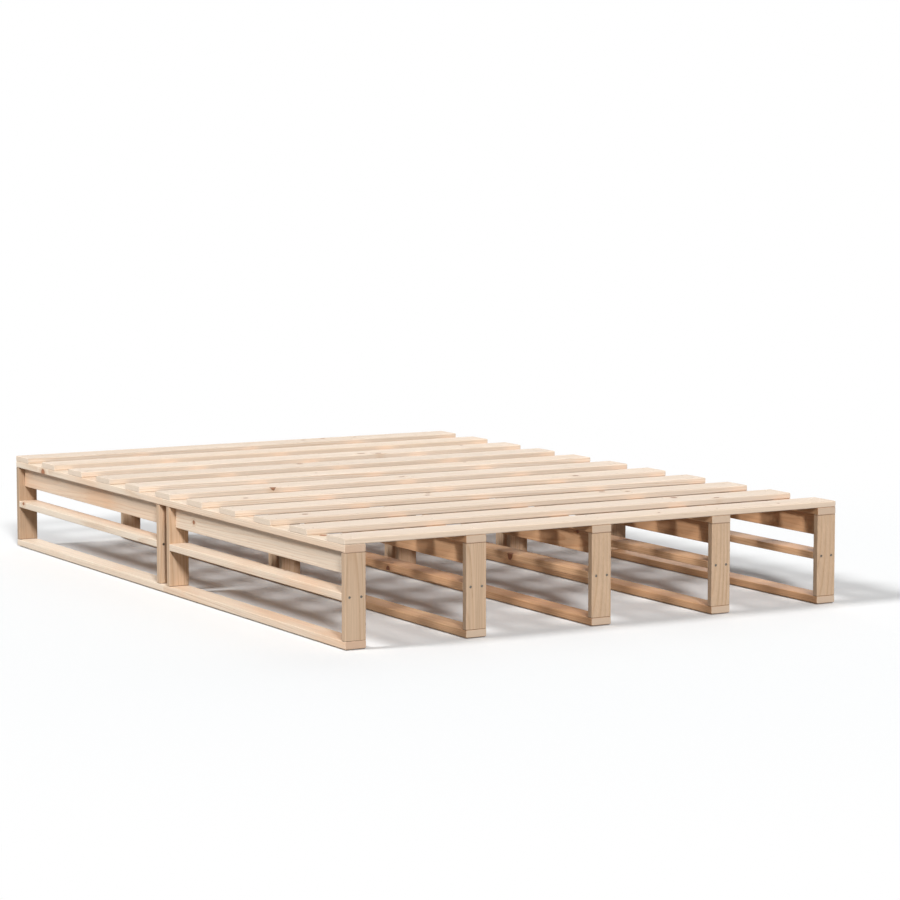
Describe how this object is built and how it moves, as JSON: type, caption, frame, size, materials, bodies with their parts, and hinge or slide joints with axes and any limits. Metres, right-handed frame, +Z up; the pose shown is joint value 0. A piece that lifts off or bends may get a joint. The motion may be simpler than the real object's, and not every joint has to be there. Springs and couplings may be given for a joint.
{
  "type": "bed frame",
  "caption": "Low slatted pine bed frame: long ladder-shaped frames stand on the floor and carry boards laid across them for a mattress.",
  "frame": {"origin": "on the floor under the middle of the bed", "axes": "+X across the bed towards its right side seen from the foot, +Y from the foot to the head, +Z up"},
  "size_m": [1.4, 2, 0.258],
  "materials": {
    "frame_pine": "planed unfinished pine with eased edges",
    "slat_pine": "planed pale unfinished pine with rounded edges",
    "screws": "zinc-plated countersunk screw heads"
  },
  "bodies": {
    "root": {"left_outer_foot_bottom_rail": "frame_pine", "left_outer_foot_post": "frame_pine", "left_outer_foot_mid_rail": "frame_pine", "left_outer_foot_top_beam": "frame_pine", "left_outer_head_bottom_rail": "frame_pine", "left_outer_head_post": "frame_pine", "left_outer_head_mid_rail": "frame_pine", "left_outer_head_top_beam": "frame_pine", "left_outer_mid_post_pair": "frame_pine", "left_inner_foot_bottom_rail": "frame_pine", "left_inner_foot_post": "frame_pine", "left_inner_foot_mid_rail": "frame_pine", "left_inner_foot_top_beam": "frame_pine", "left_inner_head_bottom_rail": "frame_pine", "left_inner_head_post": "frame_pine", "left_inner_head_mid_rail": "frame_pine", "left_inner_head_top_beam": "frame_pine", "left_inner_mid_post_pair": "frame_pine", "centre_foot_bottom_rail": "frame_pine", "centre_foot_post": "frame_pine", "centre_foot_mid_rail": "frame_pine", "centre_foot_top_beam": "frame_pine", "centre_head_bottom_rail": "frame_pine", "centre_head_post": "frame_pine", "centre_head_mid_rail": "frame_pine", "centre_head_top_beam": "frame_pine", "centre_mid_post_pair": "frame_pine", "right_inner_foot_bottom_rail": "frame_pine", "right_inner_foot_post": "frame_pine", "right_inner_foot_mid_rail": "frame_pine", "right_inner_foot_top_beam": "frame_pine", "right_inner_head_bottom_rail": "frame_pine", "right_inner_head_post": "frame_pine", "right_inner_head_mid_rail": "frame_pine", "right_inner_head_top_beam": "frame_pine", "right_inner_mid_post_pair": "frame_pine", "right_outer_foot_bottom_rail": "frame_pine", "right_outer_foot_post": "frame_pine", "right_outer_foot_mid_rail": "frame_pine", "right_outer_foot_top_beam": "frame_pine", "right_outer_head_bottom_rail": "frame_pine", "right_outer_head_post": "frame_pine", "right_outer_head_mid_rail": "frame_pine", "right_outer_head_top_beam": "frame_pine", "right_outer_mid_post_pair": "frame_pine", "slat_01": "slat_pine", "slat_02": "slat_pine", "slat_03": "slat_pine", "slat_04": "slat_pine", "slat_05": "slat_pine", "slat_06": "slat_pine", "slat_07": "slat_pine", "slat_08": "slat_pine", "slat_09": "slat_pine", "slat_10": "slat_pine", "slat_11": "slat_pine"}
  },
  "joints": []
}
